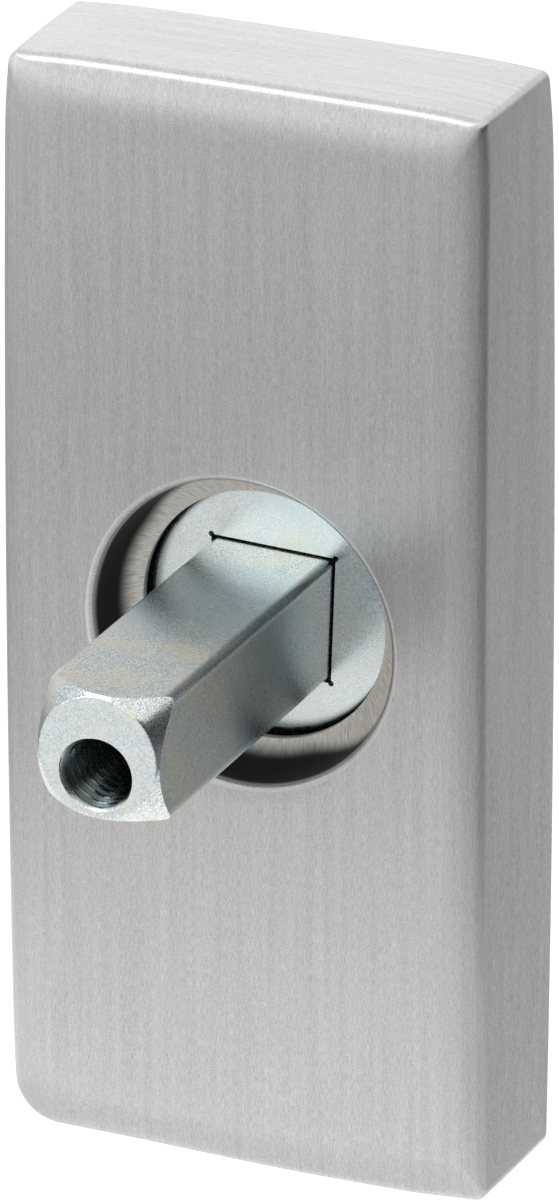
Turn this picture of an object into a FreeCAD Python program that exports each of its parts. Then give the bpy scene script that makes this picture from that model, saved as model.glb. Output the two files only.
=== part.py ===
import FreeCAD, Part
import math
import os
from FreeCAD import Vector

# Door rose for a narrow door stile: a brushed stainless cover with a dished collar, clipped over a
# die-cast base, and a sprung round bush that carries the 8 mm square spindle.
# X is to the right seen from the front, Y goes into the door and Z is up. The origin is on the
# spindle's axis, in the plane of the door's face. Heights are measured from that plane towards the
# user, along -Y. Every value is in millimetres or degrees.

# Cover
cover_width = 32.0
cover_height = 70.0
cover_depth = 10.5
cover_side_wall = 1.4
cover_front_wall = 1.5
cover_side_bow = 0.3         # crown of each long side, middle against corners
cover_end_bow = 0.15         # crown of each short side
cover_corner_radius = 1.1    # upright corners, outside
cover_inner_corner_radius = 0.8
cover_edge_radius = 1.0      # front edge, all round
mouth_radius = 9.8           # collar's dish at the front face
mouth_edge_radius = 0.3
lip_radius = 7.95            # collar's dish at its inner end
collar_depth = 3.45
collar_bulge = 0.3           # the dish lies this far outside a straight cone, midway
collar_wall = 0.8
lip_edge = 0.6               # straight edge of the hole behind the dish

# Base
base_gap = 0.2               # side play between base and cover
front_gap = 0.2              # between the keeper plate and the cover's front wall
pad_thickness = 4.6          # ends of the base, where the fixing screws sit
hub_upper_wall = 3.6         # middle block, which holds the spring, beyond the spring's pocket
hub_lower_wall = 2.5
floor_thickness = 1.5        # floor of the spring pocket
pocket_clearance = 0.28      # round the driver plate's tongue
leg_clearance = 0.2          # round the post, in the room above the pocket for the spring's legs
leg_sector_half_angle = 54.0
rear_recess_clearance = 0.1  # round the retaining ring's lugs
fixing_inset = 10.0          # from the cover's ends to the two fixing holes, which makes them 50 apart
fixing_hole_radius = 2.65
fixing_head_radius = 4.9
fixing_boss_radius = 6.6
relief_wall = 1.8            # wall left round the relief pockets at the back
relief_skin = 1.8
relief_rib = 2.4
relief_end_wall = 1.8        # between the relief pockets and the middle of the rivets

# Turning bush
square_gap = 0.13            # between the spindle and each side of the square hole
square_relief_radius = 0.18
rest_turn = 2.2              # the square rests this far clockwise, within the spring's play
head_overlap = 0.6           # the head reaches this far behind the collar's lip
head_thickness = 1.0
head_edge = 0.05             # straight rim under the head's rounded shoulder
neck_radius = 7.0
key_step = 0.8               # two-flat stretch that turns the driver plate, larger than the neck
key_flat_step = 0.1
neck_tail = 1.1              # behind the ring's groove, which takes the neck into the door's spindle hole
running_gap = 0.03           # radial, neck in bearing
face_gap = 0.05              # axial, between pieces that turn on each other

# Bearing sleeve
sleeve_wall = 1.0
sleeve_flange = 0.5          # thickness of the flange, which ends inside the driver plate's edge
sleeve_flange_inset = 0.1

# Retaining ring and washer behind the floor
ring_groove_depth = 0.4
ring_thickness = 1.0
ring_reach = 1.8             # beyond the neck
ring_gap_half_angle = 14.0
ring_lug_angle = 24.0
ring_lug_radius = 1.5
ring_lug_hole_radius = 0.75
washer_inset = 0.6           # inside the recess in the base's back
washer_thickness = 0.35

# Driver plate
driver_thickness = 1.0
driver_coil_gap = 0.25       # between the plate's edge and the spring's coil
tongue_half_width = 1.7
tongue_coil_gap = 0.85       # between the spring's coil and the bent-up tongue
tongue_thickness = 1.0
stop_arm_half_width = 2.5
stop_arm_overreach = 0.6     # the arm ends this far outside the middle of the stop pins

# Turn to each side, and what stops and returns the bush
turn_limit = 45.0
stop_play = 1.5              # degrees left between arm and pin at the limit
stop_pin_radius = 1.25
stop_pin_wall_gap = 0.25     # between a pin and the pocket's wall
stop_pin_head_gap = 0.05     # the pins end this far below the driver plate's front
stop_pin_depth = 1.2
post_radius = 1.5
post_tongue_gap = 0.1
post_depth = 2.2
post_clearance = 0.3         # between post or tongue and the keeper plate

# Return spring
wire = 0.9
coil_head_gap = 1.0          # between the bush's head and the coil
coil_turns = 1
coil_gap = 0.15              # between one turn and the next
coil_room = 0.25             # left over between the bush's head and the keeper plate
leg_bend_radius = 1.6
leg_overreach = 1.0          # the legs end this far above the middle of the post
leg_gap = 0.08

# Keeper plate over the spring, and its screws
keeper_thickness = 0.6
keeper_collar_gap = 0.3      # least gap between the plate's hole and the cover's collar
keeper_margin = 0.5
keeper_corner_radius = 2.0
keeper_screw_inset_x = 2.8
keeper_screw_inset_z = 3.0
keeper_screw_radius = 1.0
keeper_screw_length = 4.0
keeper_head_radius = 2.2
keeper_head_depth = 1.0
recess_width = 0.45
recess_length = 2.2
recess_depth = 0.6
screw_clearance = 0.05

# Cover clips
clip_thickness = 0.4
clip_width = 13.0
clip_foot_length = 2.8
clip_leg_inset = 0.8         # from the cover's end wall to the middle of the leg's sheet
clip_leg_height = 3.6
nib_reach = 1.0              # the nib and the toe reach this far outwards of the leg
nib_height = 2.6
clip_toe_reach = 0.1
clip_toe_height = 1.3
notch_depth = 1.0
notch_side_gap = 0.3
notch_floor = 0.6
nib_clearance = 0.15         # round the nib in its groove
rivet_radius = 0.8
rivet_head_radius = 1.1
rivet_head_height = 0.35
rivet_spread = 9.0
rivet_inset = 1.6            # from the leg's sheet to the row of rivets
rivet_depth = 2.6

# Spindle and its cross pin
spindle_width = 7.9
spindle_edge_radius = 0.4
spindle_front = 20.6         # reach in front of the cover
spindle_rear = 23.9          # reach behind the door face
tip_face_radius = 3.8
tip_chamfer = 2.2
rear_chamfer = 0.7
thread_bore_radius = 2.1     # core of an M5 thread
thread_depth = 14.0
thread_mouth_radius = 2.3
bore_drop = 1.1              # the bore lies this far below the bar's axis
drill_point_angle = 118.0
pin_radius = 1.25
pin_bore_radius = 0.75
pin_slit = 0.5
pin_rise = 0.6               # from the neck's end to the middle of the pin
pin_inset = 0.7              # the pin's ends lie this far inside the neck
pin_seat_gap = 0.05

# Places that follow from the sizes above
inner_end = cover_height / 2 - cover_side_wall
fixing_z = cover_height / 2 - fixing_inset
base_width = cover_width - 2 * (cover_side_wall + base_gap)
base_height = 2 * (inner_end - base_gap)
notch_z = base_height / 2 - notch_depth
clip_leg = inner_end - clip_leg_inset
rivet_row = clip_leg - rivet_inset
relief_end = rivet_row - relief_end_wall
inner_front = cover_depth - cover_front_wall
lip_height = cover_depth - collar_depth
cone_slope = (mouth_radius - lip_radius) / collar_depth
keeper_top = inner_front - front_gap
hub_thickness = keeper_top - keeper_thickness
post_top = hub_thickness - post_clearance
coil_pitch = wire + coil_gap
head_back = hub_thickness - (coil_turns + 1) * coil_pitch - wire - coil_room
head_face = head_back + head_thickness
driver_back = head_back - driver_thickness
stop_pin_top = head_back - stop_pin_head_gap
floor_top = driver_back - face_gap - sleeve_flange
floor_bottom = floor_top - floor_thickness
groove_low = floor_bottom - washer_thickness - ring_thickness - face_gap
neck_end = groove_low - neck_tail
pin_height = neck_end + pin_rise
square_hole = spindle_width + 2 * square_gap
key_radius = neck_radius + key_step
key_half_width = neck_radius + key_flat_step
sleeve_radius = neck_radius + sleeve_wall
ring_groove_radius = neck_radius - ring_groove_depth
ring_radius = neck_radius + ring_reach
rear_recess_radius = ring_radius + ring_lug_radius + rear_recess_clearance
washer_radius = rear_recess_radius - washer_inset
pin_half_length = neck_radius - pin_inset
head_radius = lip_radius + head_overlap
coil_radius = head_radius + coil_head_gap + wire / 2
collar_reach = lip_radius + cone_slope * (keeper_top - lip_height) + collar_wall
keeper_hole_radius = collar_reach + keeper_collar_gap
driver_radius = coil_radius - wire / 2 - driver_coil_gap
sleeve_flange_radius = driver_radius - sleeve_flange_inset
tongue_radius = coil_radius + wire / 2 + tongue_coil_gap + tongue_thickness
pocket_radius = math.hypot(tongue_radius, tongue_half_width) + pocket_clearance
stop_pin_circle = pocket_radius - stop_pin_wall_gap - stop_pin_radius
stop_arm_radius = stop_pin_circle + stop_arm_overreach
post_circle = tongue_radius + post_tongue_gap + post_radius
leg_top = post_circle + leg_overreach
leg_sector_radius = post_circle + post_radius + leg_clearance
hub_top = leg_sector_radius + hub_upper_wall
hub_bottom = -pocket_radius - hub_lower_wall


def cylinder(radius, low, high, x=0.0, z=0.0):
    return Part.makeCylinder(radius, high - low, Vector(x, -low, z), Vector(0, -1, 0))


def cone(low_radius, high_radius, low, high, x=0.0, z=0.0):
    return Part.makeCone(low_radius, high_radius, high - low, Vector(x, -low, z), Vector(0, -1, 0))


def tube(inner, outer, low, high):
    return cylinder(outer, low, high).cut(cylinder(inner, low, high))


def block(x_low, x_high, z_low, z_high, low, high):
    return Part.makeBox(x_high - x_low, high - low, z_high - z_low, Vector(x_low, -high, z_low))


def raised(wire_or_edges, low, high):
    # A flat outline in the plane Y = 0, made a face and raised from one height to another
    face = Part.Face(Part.Wire(wire_or_edges))
    face.translate(Vector(0, -low, 0))
    return face.extrude(Vector(0, low - high, 0))


def turned_to_rest(shape):
    # Clockwise seen from the front is positive about +Y
    turned = shape.copy()
    turned.rotate(Vector(0, 0, 0), Vector(0, 1, 0), rest_turn)
    return turned


def polar(radius, degrees_from_top):
    # Clockwise from the top, seen from the front
    angle = math.radians(degrees_from_top)
    return radius * math.sin(angle), radius * math.cos(angle)


def bowed_plate(width, height, low, high, corner_radius):
    # Rectangle whose four sides are shallow arcs, with rounded upright corners
    x = width / 2 - cover_side_bow
    z = height / 2 - cover_end_bow
    corners = [Vector(-x, 0, -z), Vector(x, 0, -z), Vector(x, 0, z), Vector(-x, 0, z)]
    crowns = [Vector(0, 0, -height / 2), Vector(width / 2, 0, 0), Vector(0, 0, height / 2), Vector(-width / 2, 0, 0)]
    sides = []
    for i in range(4):
        sides.append(Part.Arc(corners[i], crowns[i], corners[(i + 1) % 4]).toShape())
    plate = raised(sides, low, high)
    upright = [e for e in plate.Edges if abs(e.BoundBox.YLength - (high - low)) < 1e-6]
    return plate.makeFillet(corner_radius, upright)


def edges_at(shape, height, test=None):
    # Edges that lie flat at one height, perhaps only those that pass a test
    found = []
    for edge in shape.Edges:
        box = edge.BoundBox
        if box.YLength < 1e-4 and abs(box.YMax + height) < 1e-4:
            if test is None or test(edge):
                found.append(edge)
    return found


def nib_groove_reach(run, rise):
    # How far from the nib's height the sloping sheet's outer face still stands proud of the leg, with clearance
    slope = rise / run
    proud = nib_reach - clip_leg_inset + clip_thickness / 2 * math.hypot(1, 1 / slope)
    return proud * slope + nib_clearance


def dish(low, high):
    # Round tool whose side is an arc from the lip to the mouth
    middle_radius = (lip_radius + mouth_radius) / 2
    middle_height = (low + high) / 2
    slant = math.hypot(mouth_radius - lip_radius, high - low)
    out_x = (high - low) / slant * collar_bulge
    out_height = (mouth_radius - lip_radius) / slant * collar_bulge
    lip = Vector(lip_radius, -low, 0)
    mouth = Vector(mouth_radius, -high, 0)
    bulge = Vector(middle_radius + out_x, out_height - middle_height, 0)
    edges = [Part.makeLine(Vector(0, -low, 0), lip), Part.Arc(lip, bulge, mouth).toShape(),
             Part.makeLine(mouth, Vector(0, -high, 0)), Part.makeLine(Vector(0, -high, 0), Vector(0, -low, 0))]
    return Part.Face(Part.Wire(edges)).revolve(Vector(0, 0, 0), Vector(0, 1, 0), 360)


def make_cover():
    shell = bowed_plate(cover_width, cover_height, 0.0, cover_depth, cover_corner_radius)
    shell = shell.makeFillet(cover_edge_radius, edges_at(shell, cover_depth))
    inside = bowed_plate(cover_width - 2 * cover_side_wall, cover_height - 2 * cover_side_wall,
                         0.0, inner_front, cover_inner_corner_radius)
    shell = shell.cut(inside)
    radius_at_wall = lip_radius + cone_slope * (inner_front - lip_height)
    collar = cone(lip_radius + collar_wall, radius_at_wall + collar_wall, lip_height, inner_front)
    collar = collar.fuse(cylinder(lip_radius + collar_wall, lip_height - lip_edge, lip_height))
    shell = shell.fuse(collar)
    shell = shell.cut(cylinder(lip_radius, lip_height - lip_edge, lip_height))
    shell = shell.cut(dish(lip_height, cover_depth))
    mouth = edges_at(shell, cover_depth, lambda e: abs(e.BoundBox.XLength - 2 * mouth_radius) < 0.01)
    shell = shell.makeFillet(mouth_edge_radius, mouth)
    groove_half_width = clip_width / 2 + notch_side_gap
    groove_depth = nib_reach - clip_leg_inset + clip_thickness / 2 + nib_clearance
    nib_groove_low = nib_height - nib_groove_reach(nib_reach - clip_toe_reach, nib_height - clip_toe_height)
    nib_groove_high = nib_height + nib_groove_reach(nib_reach, clip_leg_height - nib_height)
    for side in (-1, 1):
        z_low, z_high = sorted((side * (inner_end - clip_leg_inset), side * (inner_end + groove_depth)))
        shell = shell.cut(block(-groove_half_width, groove_half_width, z_low, z_high,
                                nib_groove_low, nib_groove_high))
    return shell


def leg_sector(low, high):
    left = Vector(*_flat(polar(leg_sector_radius, -leg_sector_half_angle)))
    right = Vector(*_flat(polar(leg_sector_radius, leg_sector_half_angle)))
    top = Vector(0, 0, leg_sector_radius)
    centre = Vector(0, 0, 0)
    edges = [Part.makeLine(centre, left), Part.Arc(left, top, right).toShape(), Part.makeLine(right, centre)]
    return raised(edges, low, high)


def _flat(place):
    return place[0], 0.0, place[1]


def keeper_screw_places():
    x = base_width / 2 - keeper_screw_inset_x
    return [(-x, hub_bottom + keeper_screw_inset_z), (x, hub_bottom + keeper_screw_inset_z),
            (-x, hub_top - keeper_screw_inset_z), (x, hub_top - keeper_screw_inset_z)]


def rivet_places(side):
    return [(-rivet_spread / 2, side * rivet_row), (rivet_spread / 2, side * rivet_row)]


def stop_pin_places():
    # Where the arm's flank meets the pin, a little past the limit of the turn
    reach = math.degrees(math.asin((stop_arm_half_width + stop_pin_radius) / stop_pin_circle))
    angle = turn_limit + stop_play + reach
    return [polar(stop_pin_circle, 180 - angle), polar(stop_pin_circle, 180 + angle)]


def keeper_screw_seat(x, z):
    # Countersink and hole that a keeper screw needs, cut through plate and base together
    head = cone(keeper_head_radius - keeper_head_depth + screw_clearance, keeper_head_radius + screw_clearance,
                keeper_top - keeper_head_depth, keeper_top, x, z)
    bottom = keeper_top - keeper_screw_length - screw_clearance
    return head.fuse(cylinder(keeper_screw_radius + screw_clearance, bottom, keeper_top, x, z))


def make_base_plate():
    base = bowed_plate(base_width, base_height, 0.0, hub_thickness, cover_inner_corner_radius)
    far = base_height
    base = base.cut(block(-far, far, hub_top, far, pad_thickness, hub_thickness))
    base = base.cut(block(-far, far, -far, hub_bottom, pad_thickness, hub_thickness))
    base = base.cut(cylinder(pocket_radius, floor_top, hub_thickness))
    base = base.cut(leg_sector(floor_top, hub_thickness))
    base = base.cut(cylinder(rear_recess_radius, 0.0, floor_bottom))
    base = base.cut(cylinder(sleeve_radius, floor_bottom, floor_top))
    for side in (-1, 1):
        screw_z = side * fixing_z
        pocket_x = base_width / 2 - relief_wall
        near = hub_top - relief_wall if side > 0 else -hub_bottom + relief_wall
        z_low, z_high = sorted((side * near, side * relief_end))
        relief = block(-pocket_x, pocket_x, z_low, z_high, 0.0, pad_thickness - relief_skin)
        relief = relief.cut(cylinder(fixing_boss_radius, 0.0, pad_thickness, 0.0, screw_z))
        relief = relief.cut(block(-relief_rib / 2, relief_rib / 2, z_low, z_high, 0.0, pad_thickness))
        base = base.cut(relief)
        base = base.cut(cylinder(fixing_hole_radius, 0.0, pad_thickness, 0.0, screw_z))
        sink = fixing_head_radius - fixing_hole_radius
        base = base.cut(cone(fixing_hole_radius, fixing_head_radius, pad_thickness - sink, pad_thickness, 0.0, screw_z))
        base = base.cut(cylinder(fixing_head_radius, pad_thickness, hub_thickness, 0.0, screw_z))
        z_low, z_high = sorted((side * notch_z, side * base_height))
        notch_x = clip_width / 2 + notch_side_gap
        base = base.cut(block(-notch_x, notch_x, z_low, z_high, notch_floor, pad_thickness))
        for x, z in rivet_places(side):
            base = base.cut(cylinder(rivet_radius, pad_thickness - rivet_depth, pad_thickness, x, z))
    for x, z in stop_pin_places():
        base = base.cut(cylinder(stop_pin_radius, floor_top - stop_pin_depth, floor_top, x, z))
    base = base.cut(cylinder(post_radius, floor_top - post_depth, floor_top, 0.0, post_circle))
    for x, z in keeper_screw_places():
        base = base.cut(keeper_screw_seat(x, z))
    return base


def make_bush():
    head = cylinder(head_radius, head_back, head_face)
    head = head.makeFillet(head_thickness - head_edge, edges_at(head, head_face))
    key = cylinder(key_radius, driver_back, head_back)
    key = key.common(block(-key_half_width, key_half_width, -key_radius, key_radius, driver_back, head_back))
    neck = cylinder(neck_radius, neck_end, driver_back)
    bush = head.fuse([key, neck]).removeSplitter()
    bush = bush.cut(tube(ring_groove_radius, neck_radius + 1, groove_low, groove_low + ring_thickness + face_gap))
    half = square_hole / 2
    hole = block(-half, half, -half, half, neck_end, head_face)
    for x in (-half, half):
        for z in (-half, half):
            hole = hole.fuse(cylinder(square_relief_radius, neck_end, head_face, x, z))
    seat = pin_radius + pin_seat_gap
    hole = hole.fuse(block(-neck_radius, neck_radius, -seat, seat, neck_end, pin_height))
    hole = hole.fuse(Part.makeCylinder(seat, 2 * neck_radius, Vector(-neck_radius, -pin_height, 0), Vector(1, 0, 0)))
    return bush.cut(turned_to_rest(hole))


def make_spindle():
    half = spindle_width / 2
    tip = cover_depth + spindle_front
    bar = block(-half, half, -half, half, -spindle_rear, tip)
    long_edges = [e for e in bar.Edges if e.BoundBox.YLength > 1.0]
    bar = bar.makeFillet(spindle_edge_radius, long_edges)
    corner = half * math.sqrt(2)
    tip_slope = (corner - tip_face_radius) / tip_chamfer
    envelope = cylinder(corner + 1, -spindle_rear + rear_chamfer, tip - tip_chamfer)
    envelope = envelope.fuse(cone(corner, tip_face_radius, tip - tip_chamfer, tip))
    envelope = envelope.fuse(cone(corner - rear_chamfer, corner, -spindle_rear, -spindle_rear + rear_chamfer))
    bar = bar.common(envelope)
    drilled = tip - thread_depth
    bore = cylinder(thread_bore_radius, drilled, tip, 0.0, -bore_drop)
    point = thread_bore_radius / math.tan(math.radians(drill_point_angle / 2))
    bore = bore.fuse(cone(0.0, thread_bore_radius, drilled - point, drilled, 0.0, -bore_drop))
    mouth = thread_mouth_radius - thread_bore_radius
    bore = bore.fuse(cone(thread_bore_radius, thread_mouth_radius, tip - mouth, tip, 0.0, -bore_drop))
    bar = bar.cut(bore)
    pin_hole = Part.makeCylinder(pin_radius, 2 * corner, Vector(-corner, -pin_height, 0), Vector(1, 0, 0))
    return turned_to_rest(bar.cut(pin_hole))


def make_cross_pin():
    start = Vector(-pin_half_length, -pin_height, 0)
    along = Vector(1, 0, 0)
    pin = Part.makeCylinder(pin_radius, 2 * pin_half_length, start, along)
    pin = pin.cut(Part.makeCylinder(pin_bore_radius, 2 * pin_half_length, start, along))
    slit = block(-pin_half_length, pin_half_length, -pin_slit / 2, pin_slit / 2, pin_height - pin_radius, pin_height)
    return turned_to_rest(pin.cut(slit))


def make_bearing_sleeve():
    bore = neck_radius + running_gap
    barrel = tube(bore, sleeve_radius, floor_bottom, floor_top)
    flange = tube(bore, sleeve_flange_radius, floor_top, floor_top + sleeve_flange)
    return barrel.fuse(flange).removeSplitter()


def make_rear_washer():
    high = floor_bottom - face_gap / 2
    return tube(neck_radius + face_gap, washer_radius, high - washer_thickness, high)


def make_retaining_ring():
    low = groove_low + face_gap / 2
    high = low + ring_thickness
    ring = cylinder(ring_radius, low, high)
    lugs = [polar(ring_radius, 180 - ring_lug_angle), polar(ring_radius, 180 + ring_lug_angle)]
    for x, z in lugs:
        ring = ring.fuse(cylinder(ring_lug_radius, low, high, x, z))
    ring = ring.cut(cylinder(ring_groove_radius + screw_clearance, low, high))
    far = 2 * ring_radius
    gap_x = far * math.sin(math.radians(ring_gap_half_angle))
    gap_z = far * math.cos(math.radians(ring_gap_half_angle))
    corners = [Vector(0, 0, 0), Vector(-gap_x, 0, -gap_z), Vector(gap_x, 0, -gap_z), Vector(0, 0, 0)]
    ring = ring.cut(raised(Part.makePolygon(corners).Edges, low, high))
    for x, z in lugs:
        ring = ring.cut(cylinder(ring_lug_hole_radius, low, high, x, z))
    return ring


def make_driver_plate():
    low = driver_back
    high = head_back
    plate = cylinder(driver_radius, low, high)
    inner = key_radius
    plate = plate.fuse(block(-tongue_half_width, tongue_half_width, inner, tongue_radius, low, high))
    plate = plate.fuse(block(-tongue_half_width, tongue_half_width, tongue_radius - tongue_thickness, tongue_radius,
                             low, post_top))
    plate = plate.fuse(block(-stop_arm_half_width, stop_arm_half_width, -stop_arm_radius, -inner, low, high))
    key = cylinder(key_radius + screw_clearance, low, high)
    across = key_half_width + screw_clearance
    key = key.common(block(-across, across, -2 * key_radius, 2 * key_radius, low, high))
    return plate.cut(key).removeSplitter()


def make_stop_pins():
    pins = []
    for x, z in stop_pin_places():
        pins.append(cylinder(stop_pin_radius, floor_top - stop_pin_depth, stop_pin_top, x, z))
    return Part.makeCompound(pins)


def make_spring_post():
    post = cylinder(post_radius, floor_top - post_depth, post_top, 0.0, post_circle)
    return post.makeChamfer(post_radius / 5, edges_at(post, post_top))


def biarc(start, start_way, end, end_way):
    # Two arcs that join smoothly: the joint lies midway between the two points reached along the tangents
    chord = end - start
    ways = start_way + end_way
    along = chord.dot(ways)
    spare = 2 * (1 - start_way.dot(end_way))
    reach = (math.sqrt(along * along + spare * chord.dot(chord)) - along) / spare
    near = start + start_way * reach
    far = end - end_way * reach
    joint = (near + far) * 0.5
    arcs = []
    for first, corner, last in ((start, near, joint), (joint, far, end)):
        half_chord = (last - first).Length / 2
        side = (corner - first).Length
        # Height of the arc above its chord, from the angle between chord and tangent
        half_turn = math.acos(half_chord / side)
        rise = half_chord * math.tan(half_turn / 2)
        middle = (first + last) * 0.5
        outward = (corner - middle).normalize()
        arcs.append(Part.Arc(first, middle + outward * rise, last).toShape())
    return arcs


def coil_point(angle, start_angle, low):
    x, z = polar(coil_radius, math.degrees(angle))
    climb = coil_pitch / (2 * math.pi)
    place = Vector(x, -(low + climb * (angle - start_angle)), z)
    way = Vector(coil_radius * math.cos(angle), -climb, -coil_radius * math.sin(angle)).normalize()
    return place, way


def make_return_spring():
    leg_x = tongue_half_width + leg_gap + wire / 2
    bend_x = leg_x + leg_bend_radius
    between = coil_radius + leg_bend_radius
    bend_z = math.sqrt(between ** 2 - bend_x ** 2)
    start_angle = math.asin(bend_x / between)
    end_angle = 2 * math.pi * (coil_turns + 1) - start_angle
    low = head_back + face_gap + wire / 2
    steps = 4 * (coil_turns + 1)
    edges = []
    # Lower leg, its bend, the coil in quarter turns, the upper bend and leg
    down = Vector(0, 0, -1)
    leg_foot = Vector(leg_x, -low, bend_z)
    edges.append(Part.makeLine(Vector(leg_x, -low, leg_top), leg_foot))
    place, way = coil_point(start_angle, start_angle, low)
    edges += biarc(leg_foot, down, place, way)
    for i in range(1, steps + 1):
        angle = start_angle + (end_angle - start_angle) * i / steps
        next_place, next_way = coil_point(angle, start_angle, low)
        edges += biarc(place, way, next_place, next_way)
        place, way = next_place, next_way
    high = -place.y
    leg_foot = Vector(-leg_x, -high, bend_z)
    edges += biarc(place, way, leg_foot, Vector(0, 0, 1))
    edges.append(Part.makeLine(leg_foot, Vector(-leg_x, -high, leg_top)))
    path = Part.Wire(edges)
    section = Part.Wire(Part.Circle(Vector(leg_x, -low, leg_top), down, wire / 2).toShape())
    spring = path.makePipeShell([section], True, False)
    print("spring volume over wire section times length",
          round(spring.Volume / (math.pi * wire ** 2 / 4 * path.Length), 4))
    print("spring gap between turns", round(coil_pitch - wire, 3))
    return spring


def make_spring_keeper():
    x = base_width / 2 - keeper_margin
    plate = block(-x, x, hub_bottom + keeper_margin, hub_top - keeper_margin, hub_thickness, keeper_top)
    upright = [e for e in plate.Edges if abs(e.BoundBox.YLength - keeper_thickness) < 1e-6]
    plate = plate.makeFillet(keeper_corner_radius, upright)
    plate = plate.cut(cylinder(keeper_hole_radius, hub_thickness, keeper_top))
    for screw_z in (-fixing_z, fixing_z):
        plate = plate.cut(cylinder(fixing_head_radius, hub_thickness, keeper_top, 0.0, screw_z))
    for x, z in keeper_screw_places():
        plate = plate.cut(keeper_screw_seat(x, z))
    return plate


def make_keeper_screws():
    screws = []
    for x, z in keeper_screw_places():
        head = cone(keeper_head_radius - keeper_head_depth, keeper_head_radius,
                    keeper_top - keeper_head_depth, keeper_top, x, z)
        screw = head.fuse(cylinder(keeper_screw_radius, keeper_top - keeper_screw_length, keeper_top, x, z))
        long = recess_length / 2
        narrow = recess_width / 2
        screw = screw.cut(block(x - long, x + long, z - narrow, z + narrow, keeper_top - recess_depth, keeper_top))
        screw = screw.cut(block(x - narrow, x + narrow, z - long, z + long, keeper_top - recess_depth, keeper_top))
        screws.append(screw.removeSplitter())
    return Part.makeCompound(screws)


def make_clip(side):
    # Sheet strip bent along a line of points in Z and height, with mitred corners
    foot = pad_thickness + clip_thickness / 2
    line = [(clip_leg - clip_foot_length, foot), (clip_leg, foot), (clip_leg, clip_leg_height),
            (clip_leg + nib_reach, nib_height), (clip_leg + clip_toe_reach, clip_toe_height)]
    faces = []
    for hand in (1, -1):
        flank = []
        for i, (z, h) in enumerate(line):
            normals = []
            for j in (i - 1, i):
                if 0 <= j < len(line) - 1:
                    run_z = line[j + 1][0] - line[j][0]
                    run_h = line[j + 1][1] - line[j][1]
                    length = math.hypot(run_z, run_h)
                    normals.append((-run_h / length, run_z / length))
            mean_z = sum(n[0] for n in normals) / len(normals)
            mean_h = sum(n[1] for n in normals) / len(normals)
            scale = hand * clip_thickness / 2 / (mean_z ** 2 + mean_h ** 2)
            flank.append(Vector(-clip_width / 2, -(h + mean_h * scale), side * (z + mean_z * scale)))
        faces.append(flank)
    outline = faces[0] + faces[1][::-1]
    face = Part.Face(Part.makePolygon(outline + [outline[0]]))
    clip = face.extrude(Vector(clip_width, 0, 0))
    for x, z in rivet_places(side):
        clip = clip.cut(cylinder(rivet_radius, pad_thickness, pad_thickness + clip_thickness, x, z))
    return clip


def make_clip_rivets():
    rivets = []
    top = pad_thickness + clip_thickness
    for side in (-1, 1):
        for x, z in rivet_places(side):
            rivet = cylinder(rivet_radius, pad_thickness - rivet_depth, top, x, z)
            rivet = rivet.fuse(cylinder(rivet_head_radius, top, top + rivet_head_height, x, z))
            rivets.append(rivet.removeSplitter())
    return Part.makeCompound(rivets)


def make_upper_cover_clip():
    return make_clip(1)


def make_lower_cover_clip():
    return make_clip(-1)


nodes = {
    "cover": make_cover,
    "base_plate": make_base_plate,
    "bush": make_bush,
    "spindle": make_spindle,
    "cross_pin": make_cross_pin,
    "bearing_sleeve": make_bearing_sleeve,
    "rear_washer": make_rear_washer,
    "retaining_ring": make_retaining_ring,
    "driver_plate": make_driver_plate,
    "stop_pins": make_stop_pins,
    "spring_post": make_spring_post,
    "return_spring": make_return_spring,
    "spring_keeper": make_spring_keeper,
    "keeper_screws": make_keeper_screws,
    "upper_cover_clip": make_upper_cover_clip,
    "lower_cover_clip": make_lower_cover_clip,
    "clip_rivets": make_clip_rivets,
}

os.makedirs("parts", exist_ok=True)
for name, make in nodes.items():
    shape = make()
    print(name, "solids", len(shape.Solids), "valid", shape.isValid(), "volume", round(shape.Volume, 2))
    shape.exportStep("parts/" + name + ".step")
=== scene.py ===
import math

import bmesh
import bpy
import numpy as np
from mathutils import Euler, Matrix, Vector


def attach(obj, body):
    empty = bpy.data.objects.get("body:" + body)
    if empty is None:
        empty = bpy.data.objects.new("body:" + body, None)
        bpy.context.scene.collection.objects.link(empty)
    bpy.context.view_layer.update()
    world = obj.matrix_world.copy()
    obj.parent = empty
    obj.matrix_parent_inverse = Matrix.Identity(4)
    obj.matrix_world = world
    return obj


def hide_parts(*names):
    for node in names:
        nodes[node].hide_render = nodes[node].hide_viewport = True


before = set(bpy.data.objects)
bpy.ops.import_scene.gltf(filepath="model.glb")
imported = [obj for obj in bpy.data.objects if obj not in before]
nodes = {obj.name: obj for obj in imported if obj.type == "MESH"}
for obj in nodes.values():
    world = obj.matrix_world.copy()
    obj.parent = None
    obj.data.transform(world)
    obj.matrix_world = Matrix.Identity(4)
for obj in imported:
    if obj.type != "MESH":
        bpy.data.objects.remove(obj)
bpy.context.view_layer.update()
mm = 0.001
print("frame loaded,", len(nodes), "nodes")


# Helpers

def linear(hexColour):
    # sRGB hex to linear light
    srgb = np.array([int(hexColour[i:i + 2], 16) for i in (1, 3, 5)]) / 255
    light = np.where(srgb <= 0.04045, srgb / 12.92, ((srgb + 0.055) / 1.055) ** 2.4)
    return (*light.tolist(), 1.0)


def addNode(tree, kind, settings=None, links=None):
    # Settings are sockets or properties by name, links are sockets that feed the node's inputs
    node = tree.nodes.new(kind)
    for key, value in (settings or {}).items():
        if isinstance(key, int) or key in node.inputs:
            node.inputs[key].default_value = value
        else:
            setattr(node, key, value)
    for key, source in (links or {}).items():
        tree.links.new(source, node.inputs[key])
    return node


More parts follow.
